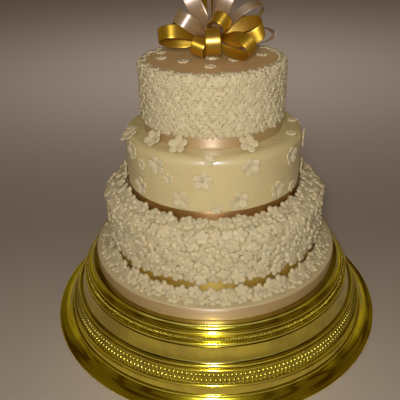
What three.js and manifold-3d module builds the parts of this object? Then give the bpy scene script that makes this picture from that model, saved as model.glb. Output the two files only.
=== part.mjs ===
// A three-tier wedding cake with sugar blossoms, satin ribbons and a ribbon bow,
// on an iced drum and a low gold stand. Millimetres, +Z up, the table at z = 0.
// Angles run round the cake from the front (-Y), positive towards +X.

import * as THREE from 'three';
import { mergeVertices } from 'three/addons/utils/BufferGeometryUtils.js';
import Module from 'manifold-3d';

const wasm = await Module();
wasm.setup();

// Driving dimensions
const clearance = 0.3; // between pieces that touch
const standHeight = 78;
const drumRadius = 152.4; // a 12 inch drum
const drumHeight = 15.5; // board and its icing
const tierHeight = 75.5;
const bottomRadius = 129; // a 10 inch cake with marzipan and icing
const middleRadius = 103.5; // an 8 inch cake
const topRadius = 79.5; // a 6 inch cake
const ribbonWidth = 15;
const wideRibbon = 25; // the gold one, round the bottom tier
const ribbonThickness = 0.9;

const drumTop = standHeight + drumHeight;
const middleBase = drumTop + tierHeight;
const topBase = middleBase + tierHeight;
const cakeTop = topBase + tierHeight;

const roundSides = 36; // flats round the stand and the ribbons
const tierSides = 48; // flats round the smooth tier
const reliefColumns = 100; // two for each blossom of a row

const looks = {
  polishedGold: { color: 0xb8a03a, roughness: 0.15, metalness: 1 },
  ivoryIcing: { color: 0xe6d5a4, roughness: 0.3, metalness: 0 },
  boardIcing: { color: 0xd9c3a2, roughness: 0.35, metalness: 0 },
  sugarBlossom: { color: 0xeadfb8, roughness: 0.55, metalness: 0 },
  bronzeSatin: { color: 0xa67c4a, roughness: 0.35, metalness: 0 },
  champagneSatin: { color: 0xc9a37c, roughness: 0.35, metalness: 0 },
  goldSatin: { color: 0xc0912a, roughness: 0.3, metalness: 0 },
  creamSatin: { color: 0xd8c49c, roughness: 0.35, metalness: 0 },
};

const cake = new THREE.Group();

function add(name, geometry, look) {
  const mesh = new THREE.Mesh(geometry, new THREE.MeshStandardMaterial(look));
  mesh.name = name;
  cake.add(mesh);
  return mesh;
}

const radians = (degrees) => THREE.MathUtils.degToRad(degrees);

// A small repeatable random source for the unevenness of handmade pieces.
function randomSource(seed) {
  let state = seed;
  return () => {
    state = (state * 1664525 + 1013904223) % 4294967296;
    return state / 4294967296;
  };
}

// A closed body turned from a profile that starts and ends on the axis, lowest point first.
function turned(profile, sides) {
  const points = profile.map(([radius, height]) => new THREE.Vector2(radius, height));
  return new THREE.LatheGeometry(points, sides).rotateX(Math.PI / 2);
}

// A band round the cake, of rectangular section and closed on itself.
function bandRing(innerRadius, thickness, low, high) {
  const inner = innerRadius / Math.cos(Math.PI / roundSides);
  const outer = inner + thickness;
  return turned([[inner, low], [outer, low], [outer, high], [inner, high], [inner, low]], roundSides);
}

// Turns a round profile into a body whose marked rings carry blossom-sized bumps.
// Each ring is [radius, height, bump]; bumped rings raise every second column, staggered from
// ring to ring, and each cell is split between its two low corners so that a bump is a pyramid.
function bumpyBody(rings, columns, seed) {
  const random = randomSource(seed);
  const unevenness = 0.35;
  const positions = [];
  const index = [];
  const last = rings.length - 1;
  const raised = (row, column) => (row + column) % 2 === 0;

  rings.forEach(([radius, height, bump = 0], row) => {
    if (row === 0 || row === last) {
      positions.push(0, 0, height);
      return;
    }
    const [radiusBefore, heightBefore] = rings[row - 1];
    const [radiusAfter, heightAfter] = rings[row + 1];
    const slope = new THREE.Vector2(heightAfter - heightBefore, radiusBefore - radiusAfter).normalize();
    for (let column = 0; column < columns; column++) {
      const lift = raised(row, column) ? bump * (1 - unevenness * random()) : 0;
      const angle = (2 * Math.PI * column) / columns;
      const reach = radius + lift * slope.x;
      positions.push(reach * Math.cos(angle), reach * Math.sin(angle), height + lift * slope.y);
    }
  });

  const at = (row, column) => 1 + (row - 1) * columns + (column % columns);
  const top = at(last, 0);
  for (let column = 0; column < columns; column++) {
    index.push(0, at(1, column + 1), at(1, column));
    index.push(top, at(last - 1, column), at(last - 1, column + 1));
  }
  for (let row = 1; row < last - 1; row++) {
    for (let column = 0; column < columns; column++) {
      const [a, b] = [at(row, column), at(row, column + 1)];
      const [c, d] = [at(row + 1, column), at(row + 1, column + 1)];
      if (raised(row, column)) index.push(a, b, c, b, d, c);
      else index.push(a, b, d, a, d, c);
    }
  }
  const geometry = new THREE.BufferGeometry();
  geometry.setAttribute('position', new THREE.Float32BufferAttribute(positions, 3));
  geometry.setIndex(index);
  return geometry;
}

// Manifold-3d joins small pieces to the body that they lie on.
function toManifold(geometry) {
  const bare = geometry.clone().deleteAttribute('normal').deleteAttribute('uv');
  const merged = mergeVertices(bare, 1e-4);
  return new wasm.Manifold(new wasm.Mesh({
    numProp: 3,
    vertProperties: new Float32Array(merged.attributes.position.array),
    triVerts: new Uint32Array(merged.index.array),
  }));
}

function fused(body, pieces) {
  const solid = pieces.reduce((sum, piece) => sum.add(toManifold(piece)), toManifold(body));
  const mesh = solid.getMesh();
  const geometry = new THREE.BufferGeometry();
  geometry.setAttribute('position', new THREE.BufferAttribute(mesh.vertProperties, 3));
  geometry.setIndex(new THREE.BufferAttribute(mesh.triVerts, 1));
  return geometry;
}

// --- Gold stand: a pressed shell, open underneath, with rolled rings and two beaded bands ---

const stand = {
  radius: 213, // its outer lip
  plateRadius: 158.5,
  footInner: 206,
};

function standShell() {
  const outside = [
    [0, standHeight], [stand.plateRadius, standHeight], [163.4, 73], // plate and its sloping edge
    [166.4, 70.3], [165.6, 68.3], // top roll
    [170, 66], [169, 63], // fine beads
    [172, 60.5], [178, 43], // upper band
    [182, 41], [181.5, 38], [184, 36.8], [183.5, 34], // two rolls
    [187, 31], [186.5, 28.2], [190, 25], // two rows of large beads
    [191.5, 22], [194, 12], [195.3, 10.8], // lower band between rolls
    [204, 5], [stand.radius, 1.6], [stand.radius - 1, 0], // skirt and lip
  ];
  const inside = [
    [stand.footInner, 0], [192, 8], [179, 34], [169, 58], [160, 73.5], [0, standHeight - 1.5],
  ];
  return turned([...outside, ...inside].reverse(), roundSides);
}

add('cake_stand', standShell(), looks.polishedGold);

// --- Iced drum with its ribbon and the ring of blossoms round the foot of the cake ---

// The blossoms lie on the drum outside and lean up towards the cake inside.
const blossomRing = { back: 131.8, inner: 134.5, middle: 141, outer: 147, rise: 9, bump: 3.2 };

function icedDrum() {
  return bumpyBody([
    [0, standHeight],
    [drumRadius, standHeight],
    [drumRadius, drumTop],
    [blossomRing.outer, drumTop],
    [blossomRing.middle, drumTop + blossomRing.rise * 0.15, blossomRing.bump],
    [blossomRing.inner, drumTop + blossomRing.rise * 0.75, blossomRing.bump],
    [blossomRing.back, drumTop + blossomRing.rise],
    [blossomRing.back, drumTop],
    [0, drumTop],
  ], reliefColumns, 3);
}

const bandEdge = 0.4; // the drum shows above and below its ribbon

add('cake_drum', icedDrum(), looks.boardIcing);
add('drum_ribbon', bandRing(
  drumRadius + clearance, ribbonThickness, standHeight + bandEdge, drumTop - bandEdge,
), looks.champagneSatin);

// --- Bottom and top tiers: a bare foot behind the ribbon, then blossoms packed in rows ---

function blossomTier({ radius, base, ribbon, rowPitch, bump, rim, ledge, seed }) {
  const rings = [[0, base], [radius, base]];
  const top = base + tierHeight;
  const rows = Math.round((tierHeight - ribbon - rim) / rowPitch);
  for (let row = 0; row <= rows; row++) {
    rings.push([radius, base + ribbon + clearance + row * rowPitch, row === 0 ? 0 : bump]);
  }
  ledge.forEach(([inset, drop, lift]) => rings.push([radius - inset, top - drop, lift]));
  rings.push([0, top]);
  return bumpyBody(rings, reliefColumns, seed);
}

add('bottom_tier', blossomTier({
  radius: bottomRadius,
  base: drumTop,
  ribbon: wideRibbon,
  rowPitch: 8,
  bump: 3.4,
  rim: 10,
  ledge: [[3, 3, 3.2], [10.5, 0, 3], [18, 0, 2.6], [23, 0, 0]], // rim, two rows on the ledge, edge
  seed: 7,
}), looks.sugarBlossom);

add('bottom_ribbon', bandRing(
  bottomRadius + clearance, ribbonThickness, drumTop + clearance, drumTop + wideRibbon,
), looks.goldSatin);

const flower = {
  large: { radius: 11, thickness: 1.7, lift: 1.1 },
  small: { radius: 6.5, thickness: 1.3, lift: 0.7 },
};

// A five-petalled blossom cut from paste and pressed in the middle, its back on z = 0.
// Three points draw each petal: its two shoulders and the notch beside it.
function blossom({ radius, thickness, lift }, sunk = 0) {
  const shoulder = 19;
  const notch = 0.56;
  const positions = [];
  for (let petal = 0; petal < 5; petal++) {
    for (const [turn, reach] of [[-shoulder, 1], [shoulder, 1], [36, notch]]) {
      const angle = radians(72 * petal + turn);
      const edge = [radius * reach * Math.cos(angle), radius * reach * Math.sin(angle)];
      positions.push(...edge, lift * reach - sunk);
      positions.push(...edge, (lift + thickness) * reach);
    }
  }
  const outline = 15;
  const [back, front] = [2 * outline, 2 * outline + 1];
  positions.push(0, 0, -sunk, 0, 0, thickness * 0.6);
  const index = [];
  for (let point = 0; point < outline; point++) {
    const low = 2 * point;
    const nextLow = 2 * ((point + 1) % outline);
    index.push(back, nextLow, low, low, nextLow, nextLow + 1);
    index.push(low, nextLow + 1, low + 1, front, low + 1, nextLow + 1);
  }
  const geometry = new THREE.BufferGeometry();
  geometry.setAttribute('position', new THREE.Float32BufferAttribute(positions, 3));
  geometry.setIndex(index);
  return geometry;
}

// The matrix that lays a blossom on a round body: its place, the tilt of its face from
// level (0) to upright (90), and its turn about its own middle.
function laidOn({ radius, height, angle, tilt, turn }) {
  const place = new THREE.Matrix4().makeRotationZ(radians(angle));
  place.multiply(new THREE.Matrix4().makeTranslation(0, -radius, height));
  place.multiply(new THREE.Matrix4().makeRotationX(radians(tilt)));
  return place.multiply(new THREE.Matrix4().makeRotationZ(radians(turn)));
}

// --- Middle tier: smooth icing with a rounded edge and blossoms scattered over it ---

const middleEdge = 9; // radius of its rounded top edge
const edgeStart = tierHeight - middleEdge;
const edgeLength = (middleEdge * Math.PI) / 2;

// The place a given distance up the side of the middle tier, over its edge and inwards.
function onMiddleTier(along, standOff) {
  const past = along - edgeStart;
  if (past <= 0) return { radius: middleRadius + standOff, height: middleBase + along, tilt: 90 };
  if (past >= edgeLength) {
    const inward = past - edgeLength;
    return { radius: middleRadius - middleEdge - inward, height: topBase + standOff, tilt: 0 };
  }
  const turn = past / middleEdge;
  const reach = middleEdge + standOff;
  return {
    radius: middleRadius - middleEdge + reach * Math.cos(turn),
    height: topBase - middleEdge + reach * Math.sin(turn),
    tilt: 90 - THREE.MathUtils.radToDeg(turn),
  };
}

function smoothTier() {
  const profile = [[0, middleBase], [middleRadius, middleBase]];
  const steps = 4;
  for (let step = 0; step <= steps; step++) {
    const { radius, height } = onMiddleTier(edgeStart + (edgeLength * step) / steps, 0);
    profile.push([radius, height]);
  }
  return turned([...profile, [0, topBase]], tierSides);
}

// Small blossoms, fused to the icing: [angle, distance up the side].
const smallOnSide = [
  [-48, 56], [-27, 49], [-2, 73.5], [67, 82], [57, 23], [1.5, 23], [94, 84], [-82, 86], [-170, 50],
];
const sunk = 0.8; // how far a fused blossom's back goes into the icing

const smallBlossoms = smallOnSide.map(([angle, along], number) => blossom(flower.small, sunk)
  .applyMatrix4(laidOn({ ...onMiddleTier(along, 0), angle, turn: 31 * number })));

add('middle_tier', fused(smoothTier(), smallBlossoms), looks.ivoryIcing);
add('middle_ribbon', bandRing(
  middleRadius + clearance, ribbonThickness, middleBase + clearance, middleBase + ribbonWidth,
), looks.bronzeSatin);

// Large blossoms, each a piece of its own: [angle, distance up the side].
const largeOnSide = [
  [-70, 76], [-56.5, 67], [-34, 62], [-49, 29.5], [-6, 51.5], [21.5, 63.5], [52.5, 61], [41, 28],
  [-19, 27.5], [14.5, 27.5], [76, 66], [-80, 27.5], [79, 27.5],
];
// Those that lean in the corner between the ledge and the ribbon above it.
const leaningAngles = [-44, -23.5, 23.5];
// The far side repeats the same spread by a rule.
const farSide = { count: 10, first: 105, last: 258, heights: [58, 28, 80] };
for (let number = 0; number < farSide.count; number++) {
  const share = number / (farSide.count - 1);
  const angle = farSide.first + share * (farSide.last - farSide.first);
  largeOnSide.push([angle, farSide.heights[number % farSide.heights.length]]);
}

const largeStandOff = 0.55; // clears the flats of the round body

largeOnSide.forEach(([angle, along], number) => {
  const mesh = add(`blossom_${number + 1}`, blossom(flower.large), looks.sugarBlossom);
  const place = laidOn({ ...onMiddleTier(along, largeStandOff), angle, turn: 25 * number });
  mesh.applyMatrix4(place);
});

const leanTilt = 38; // from level
const ribbonGap = 1.2; // clears the flats of the ribbon
leaningAngles.forEach((angle, number) => {
  const mesh = add(`leaning_blossom_${number + 1}`, blossom(flower.large), looks.sugarBlossom);
  const radius = topRadius + ribbonThickness + ribbonGap + flower.large.radius * Math.cos(radians(leanTilt));
  const height = topBase + flower.large.radius * Math.sin(radians(leanTilt));
  mesh.applyMatrix4(laidOn({ radius, height, angle, tilt: leanTilt, turn: 18 + 30 * number }));
});

// --- Top tier, its ribbon, and the blossoms scattered on its icing: [distance out, angle] ---

const topBlossoms = [
  [41, -3], [27, 63], [35, -62], [56, -92], [56, 99], [66, -117], [62, 140], [58, -170],
].map(([radius, angle], number) => blossom(flower.small, sunk)
  .applyMatrix4(laidOn({ radius, height: cakeTop, angle, tilt: 0, turn: 40 * number })));

const topTier = blossomTier({
  radius: topRadius,
  base: topBase,
  ribbon: ribbonWidth,
  rowPitch: 8.2,
  bump: 2.6,
  rim: 3,
  ledge: [[2.5, 0, 0]],
  seed: 11,
});

add('top_tier', fused(topTier, topBlossoms), looks.sugarBlossom);
add('top_ribbon', bandRing(
  topRadius + clearance, ribbonThickness, topBase + clearance, topBase + ribbonWidth,
), looks.champagneSatin);

// --- Ribbon bow: loops spread from a bound knot on a small pad of icing ---

const bow = {
  padRadius: 9,
  padHeight: 5,
  knotHeight: 19, // above the icing
  knotRadius: 7,
  rootRadius: 8, // where the loops leave the knot
  width: 15,
  pinched: 3.6,
  openedBy: 20, // distance over which a pinched ribbon opens out
  thickness: 0.7,
};

function bowPad() {
  const edge = 2;
  return turned([
    [0, cakeTop], [bow.padRadius, cakeTop], [bow.padRadius, cakeTop + bow.padHeight - edge],
    [bow.padRadius - edge, cakeTop + bow.padHeight], [0, cakeTop + bow.padHeight],
  ], 12);
}

// Name, angle round the cake, rise, roll of the ribbon's width from level, length, opening, twist,
// and how far the two halves drift apart widthways
const loops = [
  ['gold_loop_1', -69, 10, -51, 60, 27, 14, -2, 'goldSatin'],
  ['gold_loop_2', -27, -5, -15, 35, 19, 13, 0, 'goldSatin'],
  ['gold_loop_3', 2, 8, 3, 43, 27, -5, 0, 'goldSatin'],
  ['gold_loop_4', 47, -2, 24, 56, 24, 0, 0, 'goldSatin'],
  ['gold_loop_5', 70, 15, 99, 59, 16, -42, 6, 'goldSatin'],
  ['gold_loop_6', 19, 40, 47, 42, 20, -20, 0, 'goldSatin'],
  ['gold_loop_7', 129, 13, 19, 59, 16, 3, 0, 'goldSatin'],
  ['gold_loop_8', 166, 8, 10, 54, 18, 0, 0, 'goldSatin'],
  ['gold_loop_9', -125, 10, 0, 54, 18, 0, 0, 'goldSatin'],
  ['gold_loop_10', -150, 50, -13, 47, 16, 13, 0, 'goldSatin'],
  ['gold_loop_11', 165, 48, 62, 56, 14, -1, 0, 'goldSatin'],
  ['cream_loop_1', -63, 36, 91, 49, 24, -23, -1, 'creamSatin'],
  ['cream_loop_2', -79, 64, 79, 60, 19, 0, 0, 'creamSatin'],
  ['cream_loop_3', 91, 89, 14, 61, 7, 0, 0, 'creamSatin'],
  ['cream_loop_4', 61, 66, -74, 57, 16, -14, 0, 'creamSatin'],
  ['cream_loop_5', 86, 33, 16, 64, 21, -60, 6, 'creamSatin'],
  ['cream_loop_6', 102, 2, -12, 70, 17, 0, 0, 'creamSatin'],
];

// A ribbon that leaves the knot, bends round and comes back: a drop-shaped curve swept by a
// thin rectangle that widens from its pinched ends and turns evenly by the twist.
function ribbonLoop({ azimuth, rise, roll, length, opening, twist, drift }) {
  const samples = 12;
  const lead = 0.3; // the part of a turn that the pinched ends leave out
  const [narrow, full, peak] = [0.15, 0.95, 0.87]; // the drop: narrow at the knot, full at the bend
  const reach = (length - bow.rootRadius) / 2;
  const half = opening / 2;
  const skin = bow.thickness / 2;
  const positions = [];
  for (let sample = 0; sample < samples; sample++) {
    const phase = lead + ((2 * Math.PI - 2 * lead) * sample) / (samples - 1);
    const out = bow.rootRadius + reach * (1 - Math.cos(phase));
    const drop = (Math.sin(phase) * (narrow + full * Math.sin(phase / 2))) / peak;
    const open = THREE.MathUtils.smoothstep(out, bow.rootRadius, bow.rootRadius + bow.openedBy);
    const reachAside = THREE.MathUtils.lerp(bow.pinched, bow.width, open) / 2;
    const along = new THREE.Vector2(reach * Math.sin(phase), half * Math.cos(phase)).normalize();
    const turn = (radians(twist) * (phase / Math.PI - 1)) / 2;
    for (const [side, face] of [[-1, -1], [1, -1], [1, 1], [-1, 1]]) {
      const lift = face * skin * along.x;
      const aside = side * reachAside;
      positions.push(
        out - face * skin * along.y,
        half * drop + lift * Math.cos(turn) + aside * Math.sin(turn),
        drift * drop + aside * Math.cos(turn) - lift * Math.sin(turn),
      );
    }
  }
  const index = [];
  for (let sample = 0; sample < samples - 1; sample++) {
    for (let corner = 0; corner < 4; corner++) {
      const a = 4 * sample + corner;
      const b = 4 * sample + ((corner + 1) % 4);
      index.push(a, a + 4, b, b, a + 4, b + 4);
    }
  }
  const end = 4 * (samples - 1);
  index.push(0, 1, 2, 0, 2, 3, end, end + 2, end + 1, end, end + 3, end + 2);
  const geometry = new THREE.BufferGeometry();
  geometry.setAttribute('position', new THREE.Float32BufferAttribute(positions, 3));
  geometry.setIndex(index);

  const [bearing, lift, rolled] = [radians(azimuth), radians(rise), radians(roll)];
  const outward = new THREE.Vector3(
    Math.sin(bearing) * Math.cos(lift), -Math.cos(bearing) * Math.cos(lift), Math.sin(lift),
  );
  const level = new THREE.Vector3(Math.cos(bearing), Math.sin(bearing), 0);
  const above = outward.clone().cross(level);
  const widthways = level.multiplyScalar(Math.cos(rolled)).addScaledVector(above, Math.sin(rolled));
  const opened = widthways.clone().cross(outward);
  const frame = new THREE.Matrix4().makeBasis(outward, opened, widthways);
  frame.setPosition(0, 0, cakeTop + bow.knotHeight);
  return geometry.applyMatrix4(frame);
}

add('bow_pad', bowPad(), looks.ivoryIcing);
const knot = new THREE.SphereGeometry(bow.knotRadius, 10, 5).rotateX(Math.PI / 2);
add('bow_knot', knot, looks.goldSatin).position.z = cakeTop + bow.knotHeight;
loops.forEach(([name, azimuth, rise, roll, length, opening, twist, drift, look]) => {
  add(name, ribbonLoop({ azimuth, rise, roll, length, opening, twist, drift }), looks[look]);
});

export default cake;
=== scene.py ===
import math

import bpy
import numpy as np
from mathutils import Matrix, Vector


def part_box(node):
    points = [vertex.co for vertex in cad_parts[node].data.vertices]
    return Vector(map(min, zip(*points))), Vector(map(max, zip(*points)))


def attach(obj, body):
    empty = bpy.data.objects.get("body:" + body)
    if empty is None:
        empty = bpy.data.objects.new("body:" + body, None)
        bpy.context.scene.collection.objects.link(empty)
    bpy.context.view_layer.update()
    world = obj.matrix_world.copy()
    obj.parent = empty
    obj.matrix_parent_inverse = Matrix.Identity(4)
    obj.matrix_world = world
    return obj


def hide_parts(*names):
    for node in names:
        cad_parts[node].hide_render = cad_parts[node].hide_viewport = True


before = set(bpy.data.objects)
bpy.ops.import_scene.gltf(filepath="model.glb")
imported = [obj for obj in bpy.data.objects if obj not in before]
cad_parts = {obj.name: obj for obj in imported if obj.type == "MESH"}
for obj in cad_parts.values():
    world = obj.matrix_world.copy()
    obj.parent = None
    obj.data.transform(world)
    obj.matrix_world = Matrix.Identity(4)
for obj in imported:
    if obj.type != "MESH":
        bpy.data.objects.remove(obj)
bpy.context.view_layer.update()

mm = 0.001
fullTurn = 2 * math.pi
frameSides = 36  # flats round the frame's ribbons


# Where things are, read from the frame.
def topOf(node):
    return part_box(node)[1].z


def bottomOf(node):
    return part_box(node)[0].z


# A ribbon of the frame has flats, and the cake behind it touches the middles of the flats.
def radiusBehind(node, thickness=0.9 * mm, clearance=0.3 * mm):
    return (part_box(node)[1].x - thickness) * math.cos(math.pi / frameSides) - clearance


standTop = topOf("cake_stand")
drumTop = bottomOf("bottom_tier")
middleBase = bottomOf("middle_tier")
topBase = bottomOf("top_tier")
cakeTop = bottomOf("bow_pad")
drumRadius = radiusBehind("drum_ribbon")
bottomRadius = radiusBehind("bottom_ribbon")
middleRadius = radiusBehind("middle_ribbon")
topRadius = radiusBehind("top_ribbon")


# A mesh from points (n, 3) and a list of face arrays, each (count, corners).
def makePiece(name, points, faceSets, material, replacing=(), uv=None, tint=None, crease=None):
    mesh = bpy.data.meshes.new(name)
    corners = np.concatenate([faces.ravel() for faces in faceSets]).astype(np.int32)
    widths = np.concatenate([np.full(len(faces), faces.shape[1]) for faces in faceSets])
    mesh.vertices.add(len(points))
    mesh.loops.add(len(corners))
    mesh.polygons.add(len(widths))
    mesh.vertices.foreach_set("co", np.asarray(points, np.float32).ravel())
    mesh.loops.foreach_set("vertex_index", corners)
    mesh.polygons.foreach_set("loop_start", (np.cumsum(widths) - widths).astype(np.int32))
    mesh.update(calc_edges=True)
    mesh.shade_smooth()
    if crease:
        mesh.set_sharp_from_angle(angle=math.radians(crease))
    if uv is not None:
        mesh.uv_layers.new(name="along").data.foreach_set("uv", np.asarray(uv, np.float32)[corners].ravel())
    if tint is not None:
        mesh.attributes.new("tint", "FLOAT", "POINT").data.foreach_set("value", np.asarray(tint, np.float32))
    mesh.materials.append(material)
    piece = bpy.data.objects.new(name, mesh)
    bpy.context.scene.collection.objects.link(piece)
    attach(piece, "root")
    if replacing:
        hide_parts(*replacing)


# Faces of a grid of points, rows by columns, closed round the columns.
def gridFaces(rows, columns, first=0):
    row, column = np.meshgrid(np.arange(rows - 1), np.arange(columns), indexing="ij")
    here, beside = row * columns + column, row * columns + (column + 1) % columns
    return first + np.stack([here, beside, beside + columns, here + columns], -1).reshape(-1, 4)


# Points round the axis: (radius cos angle, radius sin angle, height).
def aroundAxis(radius, angle, height):
    return np.stack(np.broadcast_arrays(radius * np.cos(angle), radius * np.sin(angle), height), -1)


# A round body: a profile (n, 2) of radius and height, from the axis round to the axis, turned
# about Z.
def turned(profile, columns):
    profile = np.asarray(profile)
    angle = fullTurn * np.arange(columns) / columns
    rings = aroundAxis(profile[1:-1, 0, None], angle, profile[1:-1, 1, None])
    poles = np.array([[0, 0, profile[0, 1]], [0, 0, profile[-1, 1]]])
    points = np.concatenate([poles, rings.reshape(-1, 3)])
    rows = len(profile) - 2
    column = np.arange(columns)
    beside = (column + 1) % columns
    last = 2 + (rows - 1) * columns
    start = np.stack([0 * column, 2 + beside, 2 + column], -1)
    end = np.stack([0 * column + 1, last + column, last + beside], -1)
    return points, [start, end, gridFaces(rows, columns, 2)]


# A round stretch of a profile, centred at (radius, height), from one angle to another (degrees).
def arc(centre, size, start, end, steps=8):
    angle = np.radians(np.linspace(start, end, steps))
    return np.stack([centre[0] + size * np.cos(angle), centre[1] + size * np.sin(angle)], -1)


# A straight stretch of a profile that bulges to its right by bulge times the sine of its share.
def bowed(start, end, bulge, steps=10):
    start, end = np.array(start, float), np.array(end, float)
    share = np.linspace(0, 1, steps)[:, None]
    along = (end - start) / np.linalg.norm(end - start)
    right = np.array([along[1], -along[0]])
    return start + share * (end - start) + bulge * np.sin(math.pi * share) * right


def addNode(tree, kind, inputs=None, **settings):
    made = tree.nodes.new(kind)
    for name, value in settings.items():
        setattr(made, name, value)
    for name, value in (inputs or {}).items():
        socket = made.inputs[name]
        if isinstance(value, bpy.types.NodeSocket):
            tree.links.new(value, socket)
        else:
            socket.default_value = value
    return made


# The result of a maths node on one or more values or sockets.
def worked(tree, operation, *values):
    return addNode(tree, "ShaderNodeMath", dict(enumerate(values)), operation=operation).outputs[0]


# A node group with named inputs {name: (kind, value)} and outputs {name: kind}.
def newGroup(name, inputs, outputs):
    group = bpy.data.node_groups.new(name, "ShaderNodeTree")
    for label, (kind, value) in inputs.items():
        group.interface.new_socket(name=label, in_out="INPUT", socket_type=kind).default_value = value
    for label, kind in outputs.items():
        group.interface.new_socket(name=label, in_out="OUTPUT", socket_type=kind)
    return group, group.nodes.new("NodeGroupInput").outputs, group.nodes.new("NodeGroupOutput")


# Two colours mixed by an amount.
def mixed(tree, amount, first, second):
    mix = addNode(tree, "ShaderNodeMix", data_type="RGBA")
    for socket, value in ((mix.inputs[0], amount), (mix.inputs[6], first), (mix.inputs[7], second)):
        if isinstance(value, bpy.types.NodeSocket):
            tree.links.new(value, socket)
        else:
            socket.default_value = value
    return mix.outputs[2]


# A value led from one range over to another, and held at its ends.
def ranged(tree, value, low, high, toLow=0.0, toHigh=1.0):
    return addNode(tree, "ShaderNodeMapRange", {
        "Value": value, "From Min": low, "From Max": high, "To Min": toLow, "To Max": toHigh,
    }).outputs[0]


number, shade = "NodeSocketFloat", "NodeSocketColor"


# Sugar paste: broad uneven patches of a second shade, and a fine powdery grain.
def makeSugarPaste():
    group, given, result = newGroup("sugarPaste", {
        "Colour": (shade, (0.8, 0.7, 0.5, 1)), "Second Colour": (shade, (0.7, 0.6, 0.4, 1)),
        "Patch Scale": (number, 30.0), "Grain Scale": (number, 1500.0),
        "Smoothest": (number, 0.35), "Roughest": (number, 0.5),
    }, {"Color": shade, "Roughness": number, "Height": number})
    place = addNode(group, "ShaderNodeTexCoord").outputs["Object"]
    patches = addNode(group, "ShaderNodeTexNoise", {
        "Vector": place, "Scale": given["Patch Scale"], "Detail": 3.0}).outputs["Fac"]
    grain = addNode(group, "ShaderNodeTexNoise", {
        "Vector": place, "Scale": given["Grain Scale"], "Detail": 2.0}).outputs["Fac"]
    spread = ranged(group, patches, 0.35, 0.65)
    colour = mixed(group, spread, given["Colour"], given["Second Colour"])
    roughness = ranged(group, patches, 0.3, 0.7, given["Smoothest"], given["Roughest"])
    for name, value in (("Color", colour), ("Roughness", roughness), ("Height", grain)):
        group.links.new(value, result.inputs[name])
    return group


# Satin: warp threads along the ribbon, and long soft streaks where they lie unevenly, which vary the
# roughness and paint in a lighter sheen colour.
def makeSatinWeave():
    group, given, result = newGroup("satinWeave", {
        "Colour": (shade, (0.7, 0.5, 0.3, 1)), "Streak Colour": (shade, (0.8, 0.6, 0.4, 1)),
        "Threads": (number, 40.0), "Smoothest": (number, 0.25), "Roughest": (number, 0.4),
        "Streaks Along": (number, 25.0), "Streaks Across": (number, 14.0),
    }, {"Color": shade, "Roughness": number, "Height": number})
    place = addNode(group, "ShaderNodeTexCoord").outputs["UV"]
    run, across = addNode(group, "ShaderNodeSeparateXYZ", {"Vector": place}).outputs[:2]
    turns = worked(group, "MULTIPLY", worked(group, "MULTIPLY", across, given["Threads"]), fullTurn)
    thread = worked(group, "SINE", turns)
    stretched = addNode(group, "ShaderNodeCombineXYZ", {
        "X": worked(group, "MULTIPLY", run, given["Streaks Along"]),
        "Y": worked(group, "MULTIPLY", across, given["Streaks Across"])}).outputs[0]
    streaks = addNode(group, "ShaderNodeTexNoise", {
        "Vector": stretched, "Scale": 1.0, "Detail": 4.0}).outputs["Fac"]
    colour = mixed(group, ranged(group, streaks, 0.35, 0.7), given["Colour"], given["Streak Colour"])
    roughness = ranged(group, streaks, 0.3, 0.7, given["Smoothest"], given["Roughest"])
    for name, value in (("Color", colour), ("Roughness", roughness), ("Height", thread)):
        group.links.new(value, result.inputs[name])
    return group


# Lacquered metal: faint turning lines round the axis, and broad smudges that vary the roughness and paint
# mottled reflections in a second, darker colour.
def makeTurnedPolish():
    group, given, result = newGroup("turnedPolish", {
        "Colour": (shade, (0.6, 0.5, 0.1, 1)), "Thin Colour": (shade, (0.5, 0.4, 0.1, 1)),
        "Smudge Scale": (number, 26.0), "Line Scale": (number, 900.0),
        "Smoothest": (number, 0.08), "Roughest": (number, 0.22),
    }, {"Color": shade, "Roughness": number, "Height": number})
    place = addNode(group, "ShaderNodeTexCoord").outputs["Object"]
    split = addNode(group, "ShaderNodeSeparateXYZ", {"Vector": place})
    flat = addNode(group, "ShaderNodeCombineXYZ", {"X": split.outputs["X"], "Y": split.outputs["Y"]})
    fromAxis = addNode(group, "ShaderNodeVectorMath", {0: flat.outputs[0]}, operation="LENGTH")
    ring = addNode(group, "ShaderNodeCombineXYZ", {"X": fromAxis.outputs["Value"],
                                                   "Y": split.outputs["Z"]})
    lines = addNode(group, "ShaderNodeTexNoise", {
        "Vector": ring.outputs[0], "Scale": given["Line Scale"], "Detail": 2.0}).outputs["Fac"]
    smudgesAndReflections = addNode(group, "ShaderNodeTexNoise", {
        "Vector": place, "Scale": given["Smudge Scale"], "Detail": 5.0, "Roughness": 0.6}).outputs["Fac"]
    colour = mixed(group, ranged(group, smudgesAndReflections, 0.42, 0.62), given["Colour"], given["Thin Colour"])
    roughness = ranged(group, smudgesAndReflections, 0.35, 0.75, given["Smoothest"], given["Roughest"])
    for name, value in (("Color", colour), ("Roughness", roughness), ("Height", lines)):
        group.links.new(value, result.inputs[name])
    return group


sugarPaste = makeSugarPaste()
satinWeave = makeSatinWeave()
turnedPolish = makeTurnedPolish()


# A material whose colour, roughness and relief come from one of the groups, with the shader's
# own even values set on it.
def makeMaterial(name, group, values, even, relief, reliefDepth):
    material = bpy.data.materials.new(name)
    material.use_nodes = True
    tree = material.node_tree
    shader = tree.nodes["Principled BSDF"]
    surface = addNode(tree, "ShaderNodeGroup", node_tree=group)
    for label, value in values.items():
        surface.inputs[label].default_value = value
    bump = addNode(tree, "ShaderNodeBump", {
        "Height": surface.outputs["Height"], "Strength": relief, "Distance": reliefDepth})
    tree.links.new(surface.outputs["Color"], shader.inputs["Base Color"])
    tree.links.new(surface.outputs["Roughness"], shader.inputs["Roughness"])
    tree.links.new(bump.outputs["Normal"], shader.inputs["Normal"])
    for label, value in even.items():
        shader.inputs[label].default_value = value
    return material


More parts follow.
